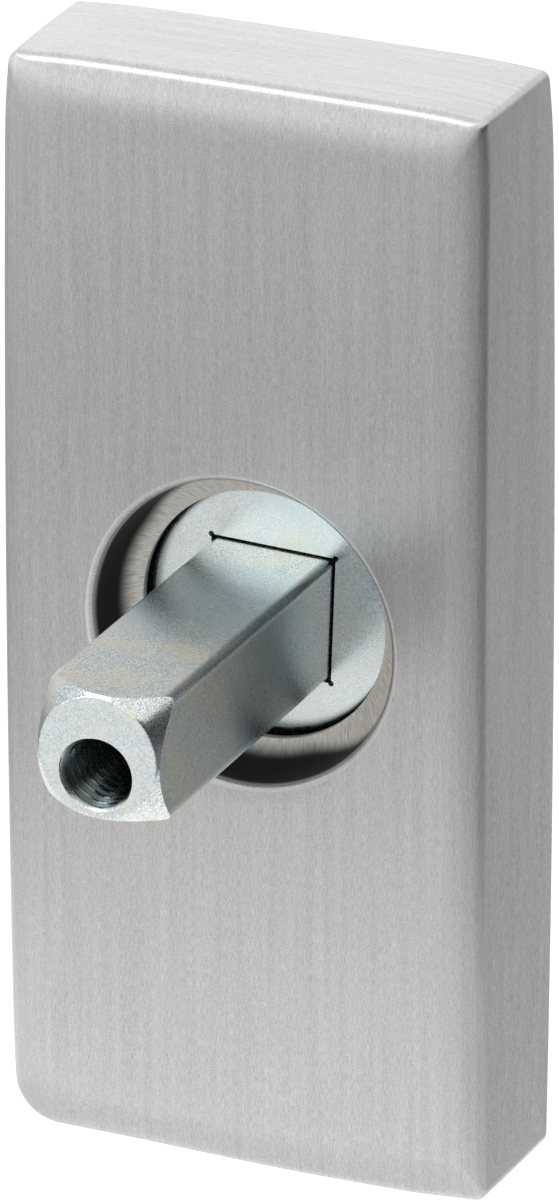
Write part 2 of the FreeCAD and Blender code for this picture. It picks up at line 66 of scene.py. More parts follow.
def newMaterial(name, settings, kind="ShaderNodeBsdfPrincipled"):
    # A material with one shader on its output
    material = bpy.data.materials.new(name)
    material.use_nodes = True
    tree = material.node_tree
    tree.nodes.clear()
    shader = addNode(tree, kind, settings)
    addNode(tree, "ShaderNodeOutputMaterial", links={"Surface": shader.outputs[0]})
    return material, tree, shader


def feed(tree, shader, sources):
    # Links each source to the shader's socket of that name
    for socket, source in sources.items():
        tree.links.new(source, shader.inputs[socket])


def gridQuads(rows, columns, start=0):
    # Corners of the quads of a grid whose points are numbered row by row
    index = start + np.arange(rows * columns).reshape(rows, columns)
    corners = (index[:-1, :-1], index[1:, :-1], index[1:, 1:], index[:-1, 1:])
    return np.stack(corners, axis=-1).reshape(-1, 4)


def addObject(name, data):
    thing = bpy.data.objects.new(name, data)
    bpy.context.scene.collection.objects.link(thing)
    return thing


def sheet(points, across, along, polish=0.0, dark=0.0, scratched=0.0):
    # A grid of points in mm, with the distances across and along the grain and the finish at each of them:
    # polish, painted shade and scratches
    values = np.broadcast_arrays(across, along, polish, dark, scratched)
    return {"points": points * mm, "map": np.stack(values, axis=-1)}


def weldedPiece(name, sheets, material, body, creaseDeg):
    # Joins grids of quads into one closed mesh: borders that meet are welded
    weldMm = 0.0005
    points, quads, maps = [], [], []
    start = 0
    for part in sheets:
        quads.append(gridQuads(*part["points"].shape[:2], start))
        points.append(part["points"].reshape(-1, 3))
        maps.append(part["map"].reshape(-1, 5))
        start += len(points[-1])
    points, quads, maps = (np.concatenate(x) for x in (points, quads, maps))
    mesh = bpy.data.meshes.new(name)
    mesh.from_pydata(points, [], quads.tolist())
    grain = mesh.uv_layers.new(name="grain")
    corners = maps[quads.ravel()].astype(np.float32)
    grain.uv.foreach_set("vector", corners[:, :2].ravel())
    finish = mesh.attributes.new("finish", "FLOAT_VECTOR", "CORNER")    # polished, painted shade, scratched
    finish.data.foreach_set("vector", corners[:, 2:].ravel())
    work = bmesh.new()
    work.from_mesh(mesh)
    bmesh.ops.remove_doubles(work, verts=work.verts, dist=weldMm * mm)
    bmesh.ops.recalc_face_normals(work, faces=work.faces)
    openEdges = sum(1 for edge in work.edges if not edge.is_manifold)
    work.to_mesh(mesh)
    work.free()
    mesh.shade_smooth()
    mesh.set_sharp_from_angle(angle=math.radians(creaseDeg))
    mesh.materials.append(material)
    piece = addObject(name, mesh)
    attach(piece, body)
    print(name, len(mesh.polygons), "faces,", openEdges, "open edges")
    return piece


def rings(flat, height):
    # Rows of rings in the X-Z plane, each at its height in front of the door plane
    height = np.broadcast_to(np.asarray(height, float), flat.shape[:-1])
    return np.stack([flat[..., 0], -height, flat[..., 1]], axis=-1)


def smooth(value):
    # Eased step from 0 to 1
    share = np.clip(value, 0, 1)
    return share ** 2 * (3 - 2 * share)


def ramp(value, start, span):
    # Eased step that begins at a start and is complete a span later
    return smooth((value - start) / span)


def running(points):
    # Distance along each row of points from its first point
    steps = np.linalg.norm(np.diff(points, axis=1), axis=-1)
    return np.concatenate([np.zeros((len(points), 1)), np.cumsum(steps, axis=1)], axis=1)


# Cover: brushed stainless steel cap with its dished collar

cover = dict(
    width=32.0, height=69.98, depth=10.5, wall=1.4, frontWall=1.5,
    sideBow=0.31, endBow=0.1,              # crown of each side over its whole length
    sideCurl=(6.0, 62.0), endCurl=(6.0, 62.0),    # last stretch of a side and the radius it curls in with
    lowerCurl=(0.45, 0.0),                 # share of that curl at the lower left and the lower right corner
    # Plan radii, anticlockwise from the upper right, at the rim and at the front
    backCorners=(0.6, 0.4, 0.7, 0.8), frontCorners=(0.5, 0.9, 3.2, 0.9),
    cornerGrowth=0.6, leastCorner=0.12,    # growth of these radii with the inset, and the smallest radius
    frontFrom=8.5, cornerPower=4,          # height from which the front's radii hold, and how late they grow
    rightHollow=0.5, hollowSide=(6.0, 6.0),    # less bulge of the right side at the front, and its start
    sidePoints=66, endPoints=31,           # on half a side and half an end
    # Front edge: a small radius, then a slow fall; its share along the bottom and the left, and how each
    # share fades in: downwards, rightwards, back out at the lower right corner, leftwards, upwards
    edgeStart=0.95, edgeReach=3.7, edgeDrop=0.66, edgePower=3.5,
    lowerDrop=0.5, leftDrop=0.92,
    lowerFade=(24.0, 10.0), lowerSide=(-11.0, 16.0), cornerFade=(10.5, 5.0), cornerShare=0.7,
    leftFade=(11.0, 4.0), leftRise=(-34.0, 8.0),
    rimRadius=0.12, mouthRadius=9.8, mouthEdge=0.45, lipRadius=7.95, lipCorner=0.08, lipEdge=0.6,
    collarDepth=3.45, collarBulge=0.4, collarWall=0.8,
)
# Finish of the cover: the ends' grain is finer, the front edge is rubbed, and the collar's wall carries
# painted shade down to its ground foot, which on the upper right takes almost all of the wall; a light
# ground floor over the whole dish is a painted highlight at the mouth; angles anticlockwise from the right
coverFinish = dict(
    sideFineness=0.5, endFineness=1.5, endFade=(33.0, 2.0),
    edgePolish=0.5, rubbedFrom=0.025, rubbedTo=0.8, rubbedSlope=1.5,
    footDepth=2.8, footTilt=0.2, footAngle=285.0,
    clearAngle=38.0, clearFade=(62.0, 46.0), clearShare=0.28,
    wallLow=0.5, wallFade=1.1, mouthFade=(0.25, 0.4),
    groundStart=0.4, groundFade=0.4, paintedHaloLeast=0.2, groundPast=0.02,
)


def sideSag(distance, half, bow, curl, share=1.0):
    # Crown that grows with the square of the distance, and a tighter curl over the last stretch
    length, radius = curl
    past = np.maximum(np.abs(distance) - (half - length), 0)
    return bow * (distance / half) ** 2 + share * past ** 2 / (2 * radius)


def coverOutline(inset, radii):
    # Crowned sides joined by four corners of their own radii; anticlockwise from the lower right
    c = cover
    halfX, halfZ = c["width"] / 2, c["height"] / 2
    takenUp = 0.84                        # share of its radius that a rounding takes up on either side
    weight = 0.766                        # cosine of half the turn, for an arc of a circle
    crowding = 0.4                        # how much closer the points lie towards a corner

    def half(reach, curve, count):
        # One half of a side, from its middle to the corner
        even = np.linspace(0, 1, count)
        along = ((1 + crowding) * even - crowding * even ** 3) * reach
        return np.stack([curve(along), along], axis=1)

    def quarter(radius, share):
        # An upper right corner with its half sides: the rounding is a curve bent by the sides' directions
        def sideX(z):
            return halfX - inset - sideSag(z, halfZ, c["sideBow"], c["sideCurl"], share)

        def endZ(x):
            return halfZ - inset - sideSag(x, halfX, c["endBow"], c["endCurl"], share)

        x, z = halfX - inset, halfZ - inset
        for _ in range(5):
            x, z = sideX(z), endZ(x)
        startZ, endX = z - radius * takenUp, x - radius * takenUp
        step = 1e-4
        start, end = np.array([sideX(startZ), startZ]), np.array([endX, endZ(endX)])
        startWay = np.array([(sideX(startZ + step) - sideX(startZ)) / step, 1.0])
        endWay = np.array([-1.0, -(endZ(endX + step) - endZ(endX)) / step])
        reach = np.linalg.solve(np.stack([startWay, endWay], axis=1), end - start)
        middle = start + startWay * reach[0]
        t = np.linspace(0, 1, 17)[1:-1, None]
        whole = (1 - t) ** 2 + 2 * weight * t * (1 - t) + t ** 2
        turn = ((1 - t) ** 2 * start + 2 * weight * t * (1 - t) * middle + t ** 2 * end) / whole
        return {"turn": turn, "side": half(startZ, sideX, c["sidePoints"]),
                "end": half(endX, endZ, c["endPoints"])[:, ::-1]}

    shares = (1.0, 1.0, *c["lowerCurl"])
    upRight, upLeft, lowLeft, lowRight = (quarter(*pair) for pair in zip(radii, shares))
    return np.concatenate([
        lowRight["side"][::-1] * (1, -1), upRight["side"][1:], upRight["turn"],
        upRight["end"][::-1], upLeft["end"][1:] * (-1, 1), upLeft["turn"][::-1] * (-1, 1),
        upLeft["side"][::-1] * (-1, 1), lowLeft["side"][1:] * (-1, -1), -lowLeft["turn"],
        lowLeft["end"][::-1] * (-1, -1), lowRight["end"][1:] * (1, -1), lowRight["turn"][::-1] * (1, -1),
        lowRight["side"][-1:] * (1, -1)])


def coverRing(inset, growth=-1.0, front=1.0):
    # Outline moved inwards; its corner radii change from the rim's to the front's, mostly near the front
    c = cover
    radii = [back + (ahead - back) * front ** c["cornerPower"] + growth * inset
             for back, ahead in zip(c["backCorners"], c["frontCorners"])]
    ring = coverOutline(inset, np.maximum(radii, c["leastCorner"]))
    hollow = np.clip(1 - (2 * ring[:, 1] / c["height"]) ** 2, 0, 1)
    hollow = hollow * ramp(ring[:, 0], *c["hollowSide"])
    ring[:, 0] -= c["rightHollow"] * front * hollow
    return ring


def dishProfile():
    # Radii and depths of the collar: a rounded mouth, an arc that bulges outside the straight cone, the lip
    c = cover
    least = 0.02                                              # step between the parts of the profile
    mouth, lip = np.array([c["mouthRadius"], 0.0]), np.array([c["lipRadius"], c["collarDepth"]])
    chord = np.linalg.norm(lip - mouth)
    along = (lip - mouth) / chord
    outward = np.array([along[1], -along[0]])
    radius = chord ** 2 / (8 * c["collarBulge"]) + c["collarBulge"] / 2
    half = math.asin(chord / 2 / radius)
    centre = (mouth + lip) / 2 - outward * (radius - c["collarBulge"])
    start = math.atan2(-along[0], along[1]) - half            # wall against the axis, at the mouth
    edge = c["mouthEdge"]
    turn = np.linspace(0, math.pi / 2 - start, 13)
    mouthCentre = c["mouthRadius"] + edge * (1 / math.cos(start) - math.tan(start))
    rounding = np.stack([mouthCentre - edge * np.sin(turn), edge * (1 - np.cos(turn))], axis=1)
    turn = np.linspace(-half, half, 40)[:, None]
    arc = centre + radius * (np.cos(turn) * outward + np.sin(turn) * along)
    arc = arc[(arc[:, 1] > rounding[-1, 1] + least) & (arc[:, 1] < c["collarDepth"] - 2 * least)]
    small = c["lipCorner"]
    slant = start + 2 * half                                  # wall against the axis, at the lip
    first = math.pi + math.atan2(math.sin(slant), math.cos(slant))
    turn = np.linspace(first, math.pi, 6)
    drop = small * (1 - math.cos(slant)) / math.sin(slant)
    corner = np.array([c["lipRadius"] + small, c["collarDepth"] + drop])
    corner = corner + small * np.stack([np.cos(turn), np.sin(turn)], axis=1)
    end = c["collarDepth"] + c["lipEdge"]
    edgeLine = np.array([[c["lipRadius"], end - small], [c["lipRadius"] + small * 0.3, end - small * 0.3],
                         [c["lipRadius"] + small, end]])
    return np.concatenate([rounding, arc, corner, edgeLine])


def makeCover(material):
    c, finish = cover, coverFinish
    around = coverRing(0)
    fineness = ramp(np.abs(around[:, 1]), *finish["endFade"])
    fineness = finish["sideFineness"] + finish["endFineness"] * fineness
    angle = np.unwrap(np.arctan2(around[:, 1], around[:, 0]))
    circle = np.stack([np.cos(angle), np.sin(angle)], axis=-1)
    perimeter = running(around[None])[0]
    depth, rim = c["depth"], c["rimRadius"]
    sheets = []

    def wallSheet(insets, heights, growth=-1.0):
        # Outline carried along a profile of insets and heights, with the grain along the outline
        heights = np.asarray(heights, float)
        heights = heights.reshape(len(insets), -1)
        front = np.clip(heights.mean(axis=1) / c["frontFrom"], 0, 1)
        points = rings(np.stack([coverRing(i, growth, f) for i, f in zip(insets, front)]), heights)
        steps = np.hypot(np.diff(insets), np.diff(heights.mean(axis=1)))
        path = np.concatenate([[0], np.cumsum(steps)])
        sheets.append(sheet(points, path[:, None] * fineness[None], perimeter[None]))

    def faceSheet(inset, radius, height, rows, growth=-1.0):
        # Straight blend from the outline to a circle, with the grain upright
        outer, inner = coverRing(inset, growth), circle * radius
        share = np.linspace(0, 1, rows)[:, None, None]
        flat = outer * (1 - share) + inner * share
        return sheet(rings(flat, height), flat[..., 0], flat[..., 1])

    # Front edge: the drop under the front is a power of the distance left to the end of the edge
    steepest = c["edgePower"] * c["edgeDrop"] / c["edgeReach"]
    turn = np.linspace(0, math.pi / 2 - math.atan(steepest), 6)
    base = depth - c["edgeDrop"] - c["edgeStart"] * math.sin(turn[-1])
    startInsets = c["edgeStart"] * (1 - np.cos(turn))
    startHeights = base + c["edgeStart"] * np.sin(turn)
    run = np.linspace(0, 1, 30)[1:] ** 1.5                  # rows closer together where the fall is steep
    insets = np.concatenate([startInsets, startInsets[-1] + c["edgeReach"] * run])
    heights = np.concatenate([startHeights, depth - c["edgeDrop"] * (1 - run) ** c["edgePower"]])
    # It falls less along the bottom, towards the right but not at the corner, and a little less on the left
    along = ramp(-around[:, 1], *c["lowerFade"]) * ramp(around[:, 0], *c["lowerSide"])
    along = along * (1 - c["cornerShare"] * ramp(around[:, 0], *c["cornerFade"]))
    beside = ramp(-around[:, 0], *c["leftFade"]) * ramp(around[:, 1], *c["leftRise"])
    fall = (1 - (1 - c["lowerDrop"]) * along) * (1 - (1 - c["leftDrop"]) * beside)
    heights = depth - (depth - heights[:, None]) * fall[None]
    turn = np.linspace(0, math.pi / 2, 5)
    wallSheet(rim * (1 - np.sin(turn)), rim * (1 - np.cos(turn)))
    rise = np.linspace(0, 1, 5)[:, None]
    wallSheet([0] * 5, rim + (heights[:1] - rim) * rise)
    # The belt's upright grain runs over the front edge: distances are measured down the fall
    flat = np.stack([coverRing(i, c["cornerGrowth"]) for i in insets])
    out = np.gradient(around, axis=0)
    out = np.stack([out[:, 1], -out[:, 0]], axis=-1)
    out = out / np.linalg.norm(out, axis=-1, keepdims=True)
    unrolled = flat + out[None] * (depth - heights)[..., None]
    rubbed = np.clip((finish["rubbedTo"] - insets) * finish["rubbedSlope"], 0, 1)
    rubbed = finish["edgePolish"] * rubbed * np.clip(insets / finish["rubbedFrom"], 0, 1)
    sheets.append(sheet(rings(flat, heights), unrolled[..., 0], unrolled[..., 1], rubbed[:, None]))
    dish = dishProfile()
    sheets.append(faceSheet(insets[-1], dish[0, 0], depth, 24, c["cornerGrowth"]))
    # Collar: circles carried along the dish; painted shade darkens most of its wall above a ground foot
    dishDepth = dish[:, 1:]
    away = np.abs((np.degrees(angle) - finish["clearAngle"] + 180) % 360 - 180)[None]
    foot = np.cos(angle - math.radians(finish["footAngle"]))[None]
    foot = finish["footDepth"] + finish["footTilt"] * foot
    clear = finish["clearShare"]
    foot = foot * (clear + (1 - clear) * ramp(away, *finish["clearFade"]))
    # Painted shade on the wall down to the foot, fading in from the mouth; towards the upper right the foot
    # rises and the shade all but goes
    wall = smooth((foot + finish["wallLow"] - dishDepth) / finish["wallFade"])
    wall = wall * ramp(dishDepth, *finish["mouthFade"])
    # The ground finish, with at least a fifth of it over the whole dish as a painted highlight round the
    # mouth's edge
    ground = (dishDepth - finish["groundStart"]) / finish["groundFade"]
    ground = np.clip(ground, finish["paintedHaloLeast"], 1) * (dishDepth < c["collarDepth"] + finish["groundPast"])
    path = np.concatenate([[0], np.cumsum(np.hypot(*np.diff(dish, axis=0).T))])
    sheets.append(sheet(rings(circle[None] * dish[:, :1, None], depth - dishDepth),
                        angle[None] * c["mouthRadius"], path[:, None], 0.0, wall, ground))
    slope = (c["mouthRadius"] - c["lipRadius"]) / c["collarDepth"]
    outer = c["lipRadius"] + c["collarWall"]
    wallTop = outer + slope * (c["collarDepth"] - c["frontWall"])
    end, chamfer = dish[-1, 1], 0.1
    backRadii = np.array([dish[-1, 0], outer - chamfer, outer, outer, wallTop])
    backDepths = np.array([end, end, end - chamfer, c["collarDepth"], c["frontWall"]])
    sheets.append(sheet(rings(circle[None] * backRadii[:, None, None], depth - backDepths[:, None]),
                        angle[None] * c["mouthRadius"], backDepths[:, None]))
    back = faceSheet(c["wall"], wallTop, depth - c["frontWall"], 8)
    sheets.append({key: value[::-1] for key, value in back.items()})
    wallSheet([c["wall"], c["wall"]], [depth - c["frontWall"], rim])
    turn = np.linspace(0, math.pi / 2, 5)
    wallSheet(c["wall"] - rim * (1 - np.cos(turn)), rim * (1 - np.sin(turn)))
    wallSheet([c["wall"] - rim, rim], [0, 0])
    piece = weldedPiece("cover_skin", sheets, material, "rose", 38)
    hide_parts("cover")


# Spindle: drawn square bar with a turned tip and a tapped hole

spindle = dict(
    width=7.9, edgeRadius=0.4, front=31.1, rear=-23.9, restTurnDeg=2.2,
    tipFace=3.8, tipSlope=0.812, tipBreak=0.06, tipBreakDepth=0.036, rearChamfer=0.7, rearEdge=0.02,
    boreCore=2.1, boreMouth=2.3, boreDrop=1.1,
    threadPitch=0.8, threadDepth=0.34, threadLength=13.2, drillEnd=1.26,
    threadCut=(1.25, 0.12),               # stretch and shift that flatten the crests and roots
    flatPoints=23, cornerPoints=11,
)
# Finish of the spindle: shares of painted shade, less on the thread crests as a painted highlight, and of
# polish, with the clock in degrees from the right
barFinish = dict(
    boreShadeShare=0.9, mouthShadeFade=0.25, crestHighlight=0.6, crestWidth=0.2, crestFrom=0.5, crestFade=0.5,
    breakPolish=0.6, conePolish=0.6, leftShadeShare=0.45, leftFade=(105.0, 20.0),
    sideShadeShare=0.44, sideMore=0.24, sideMiddle=16.0, sideHalf=6.0, sideClock=44.0, sideFade=5.0,
    edgeShadeShare=0.72, edgeClock=45.5, edgeHalf=4.5, edgeFade=2.5,
)


def turnedToRest(points):
    # Turned clockwise seen from the front, by the small play of the square
    angle = math.radians(spindle["restTurnDeg"])
    x, z = points[..., 0].copy(), points[..., 2].copy()
    points[..., 0] = x * math.cos(angle) + z * math.sin(angle)
    points[..., 2] = z * math.cos(angle) - x * math.sin(angle)
    return points


def squareRing(half, corner):
    # Square with rounded corners, anticlockwise seen from the front
    count = spindle["flatPoints"]
    flat = np.linspace(-1, 1, count) * (half - corner)
    side = np.stack([np.full(count, half), flat], axis=1)
    turn = np.linspace(0, math.pi / 2, spindle["cornerPoints"])[1:-1]
    arc = half - corner + corner * np.stack([np.cos(turn), np.sin(turn)], axis=1)
    quarter = np.concatenate([side, arc])
    x, z = quarter[:, 0], quarter[:, 1]
    turns = [np.stack(p, axis=1) for p in ((x, z), (-z, x), (-x, -z), (z, -x))]
    return np.concatenate([*turns, turns[0][:1]])


def makeSpindle(material):
    s, finish = spindle, barFinish
    ring = squareRing(s["width"] / 2, s["edgeRadius"])
    angle = np.unwrap(np.arctan2(ring[:, 1], ring[:, 0]))
    circle = np.stack([np.cos(angle), np.sin(angle)], axis=-1)
    reach = np.linalg.norm(ring, axis=1)
    perimeter = running(ring[None])[0]
    tip, rear = s["front"], s["rear"]
    sheets = []

    def addSheet(flat, heights, around, along, polish=0.0, dark=0.0, matt=0.0):
        sheets.append(sheet(turnedToRest(rings(flat, heights)), around, along, polish, dark, matt))

    # Tapped hole: its radius is a triangle wave of depth over pitch plus angle over a turn, less at the mouth
    run = np.linspace(0, s["threadLength"], 166)[:, None]
    phase = (run / s["threadPitch"] + angle[None] / (2 * math.pi)) % 1
    wave = 1 - np.abs(2 * phase - 1)
    mouth = np.clip((s["boreMouth"] - s["boreCore"] - run), 0, None)
    stretch, shift = s["threadCut"]
    cut = np.clip(wave * stretch - shift, 0, 1)
    radius = np.maximum(s["boreCore"] + s["threadDepth"] * cut, s["boreCore"] + mouth)
    end = np.linspace(0, 1, 6)[:, None]
    radiusEnd = radius[-1:] * (1 - end)
    centre = np.array([0, -s["boreDrop"]])
    flat = centre + circle[None] * np.concatenate([radius, radiusEnd[1:]])[..., None]
    heights = np.concatenate([tip - run, tip - s["threadLength"] - end[1:] * s["drillEnd"]])
    # Painted shade in the tapped hole, fading in over its mouth, with a painted highlight on the thread
    # crests
    crest = np.clip(1 - wave / finish["crestWidth"], 0, 1)
    crest = crest * np.clip((run - finish["crestFrom"]) / finish["crestFade"], 0, 1)
    paintedShade = np.clip(run / finish["mouthShadeFade"], 0, 1) * (finish["boreShadeShare"] - finish["crestHighlight"] * crest)
    paintedShade = np.concatenate([paintedShade, np.full((5, len(angle)), finish["boreShadeShare"])])
    addSheet(flat[::-1], heights[::-1], angle[None] * s["boreCore"], heights[::-1], 0, paintedShade[::-1])
    # Matt end face, a small turned break, then the cone that cuts the corners off
    faceRadii = np.linspace(0, 1, 7)[:, None]
    inner = centre + circle * radius[0][:, None]
    outer = s["tipFace"] - s["tipBreak"]
    flat = inner + (circle * outer - inner) * faceRadii[..., None]
    addSheet(flat, tip, flat[..., 0], flat[..., 1], matt=1.0)
    turn = np.linspace(0, 1, 4)[:, None]
    away = (reach - s["tipFace"]) / s["tipSlope"]
    start = s["tipBreakDepth"]
    radii = outer + (s["tipFace"] + start * s["tipSlope"] - outer) * turn
    around = angle[None] * s["tipFace"]
    addSheet(circle[None] * radii[..., None], tip - start * turn ** 2, around, turn, finish["breakPolish"])
    share = np.linspace(0, 1, 10)[:, None]
    drop = start + (away[None] - start) * share
    radii = s["tipFace"] + s["tipSlope"] * drop
    clock = np.abs((np.degrees(angle) + 180) % 360 - 180)
    # Painted shade on the cone's facets on the left
    leftFacetShade = finish["leftShadeShare"] * ramp(clock, *finish["leftFade"])[None]
    addSheet(circle[None] * radii[..., None], tip - drop, around, drop, finish["conePolish"], leftFacetShade)
    # Flats of the bar, then the rear chamfer and the rear face
    chamferStart = np.maximum(rear + s["rearChamfer"] - (reach.max() - reach), rear + s["rearEdge"])
    share = np.linspace(0, 1, 40)[:, None] ** 1.3         # rows closer together near the tip
    front = tip - away[None]
    heights = front + (chamferStart[None] - front) * share
    # Painted shade and dark reflection on the right side, most at mid length, and on the upper right edge
    middle = smooth(1 - np.abs(heights - finish["sideMiddle"]) / finish["sideHalf"])
    side = smooth((finish["sideClock"] - clock) / finish["sideFade"])
    side = (finish["sideShadeShare"] + finish["sideMore"] * middle) * side
    edge = smooth((finish["edgeHalf"] - np.abs(clock - finish["edgeClock"])) / finish["edgeFade"])
    barShade = np.maximum(side, finish["edgeShadeShare"] * edge * (ring[:, 1] > 0))
    addSheet(np.broadcast_to(ring[None], (40, *ring.shape)), heights, perimeter[None], heights, 0, barShade)
    cut = chamferStart - rear
    share = np.linspace(0, 1, 4)[:, None]
    addSheet(circle[None] * (reach[None] - cut[None] * share)[..., None], rear + cut[None] * (1 - share),
             perimeter[None], share)
    last = (reach - cut)[None] * np.linspace(1, 0, 8)[:, None]
    flat = circle[None] * last[..., None]
    addSheet(flat, rear, flat[..., 0], flat[..., 1])
    piece = weldedPiece("spindle_bar", sheets, material, "turning_bush", 30)
    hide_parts("spindle")


# Materials

def readFinish(tree):
    # Finish of the piece at each point: polished, painted shade, and scratched or matt
    finish = addNode(tree, "ShaderNodeAttribute", {"attribute_name": "finish"})
    finish = addNode(tree, "ShaderNodeSeparateXYZ", links={0: finish.outputs["Vector"]})
    return finish.outputs[0], finish.outputs[1], finish.outputs[2]


def brushedStainlessSteel():
    # Ground with a fine belt: short thin lines that spread the reflections across the grain, and rubbed edges
    bumpMm = 0.003
    grain = dict(lines=(0.07, 0.55, 3.0), strokes=(0.16, 3.0, 2.0), bands=(0.6, 16.0, 2.0),
                 specks=(0.09, 0.09, 1.0), scratches=(0.075, 1.3, 2.0))    # width and length in mm, detail
    material, tree, shader = newMaterial("brushedStainlessSteel", {"Metallic": 1.0, "Anisotropic": 0.85})
    place = addNode(tree, "ShaderNodeUVMap", {"uv_map": "grain"}).outputs["UV"]
    patterns = {}
    for key, (wideMm, longMm, detail) in grain.items():
        scaled = addNode(tree, "ShaderNodeMapping", {"Scale": (1 / wideMm, 1 / longMm, 1)}, {"Vector": place})
        noise = addNode(tree, "ShaderNodeTexNoise", {"Scale": 1.0, "Detail": detail, "Roughness": 0.6},
                        {"Vector": scaled.outputs[0]})
        patterns[key] = noise.outputs["Fac"]
    wide = addNode(tree, "ShaderNodeMix", {"data_type": "FLOAT", "Factor": 0.45},
                   {2: patterns["strokes"], 3: patterns["bands"]})
    thin = addNode(tree, "ShaderNodeMix", {"data_type": "FLOAT", "Factor": 0.48},
                   {2: patterns["lines"], 3: patterns["specks"]})
    both = addNode(tree, "ShaderNodeMix", {"data_type": "FLOAT", "Factor": 0.3},
                   {2: thin.outputs[0], 3: wide.outputs[0]})
    spread = addNode(tree, "ShaderNodeMapRange", {"From Min": 0.3, "From Max": 0.7},
                     {"Value": both.outputs[0]})
    polished, dark, scratched = readFinish(tree)
    colour = addNode(tree, "ShaderNodeMix", {"data_type": "RGBA", 6: linear("#A3A3A2"), 7: linear("#F2F1EF")},
                     {0: spread.outputs[0]})
    deep = addNode(tree, "ShaderNodeMapRange", {"From Min": 0.56, "From Max": 0.42, "To Max": 0.5},
                   {"Value": patterns["scratches"]})
    deep = addNode(tree, "ShaderNodeMath", {"operation": "MULTIPLY"}, {0: deep.outputs[0], 1: scratched})
    # Layers: the light matt ground finish, its deeper scratches, then the painted shade
    for factor, shade in ((scratched, "#FAF4EC"), (deep.outputs[0], "#A39B92"), (dark, "#171415")):
        colour = addNode(tree, "ShaderNodeMix", {"data_type": "RGBA", 7: linear(shade)},
                         {0: factor, 6: colour.outputs[2]})
    rough = addNode(tree, "ShaderNodeMapRange",
                    {"From Min": 0.3, "From Max": 0.7, "To Min": 0.38, "To Max": 0.48},
                    {"Value": patterns["strokes"]})
    for factor, level in ((polished, 0.25), (scratched, 0.6)):
        rough = addNode(tree, "ShaderNodeMix", {"data_type": "FLOAT", 3: level},
                        {0: factor, 2: rough.outputs[0]})
    # The ground ring scatters like a matt surface
    metal = addNode(tree, "ShaderNodeMath", {"operation": "MULTIPLY_ADD", 1: -0.9, 2: 1.0}, {0: scratched})
    bump = addNode(tree, "ShaderNodeBump", {"Strength": 0.5, "Distance": bumpMm * mm},
                   {"Height": thin.outputs[0]})
    across = addNode(tree, "ShaderNodeTangent", {"direction_type": "UV_MAP", "uv_map": "grain"})
    feed(tree, shader, {"Base Color": colour.outputs[2], "Roughness": rough.outputs[0],
                        "Metallic": metal.outputs[0], "Normal": bump.outputs[0],
                        "Tangent": across.outputs[0]})
    return material


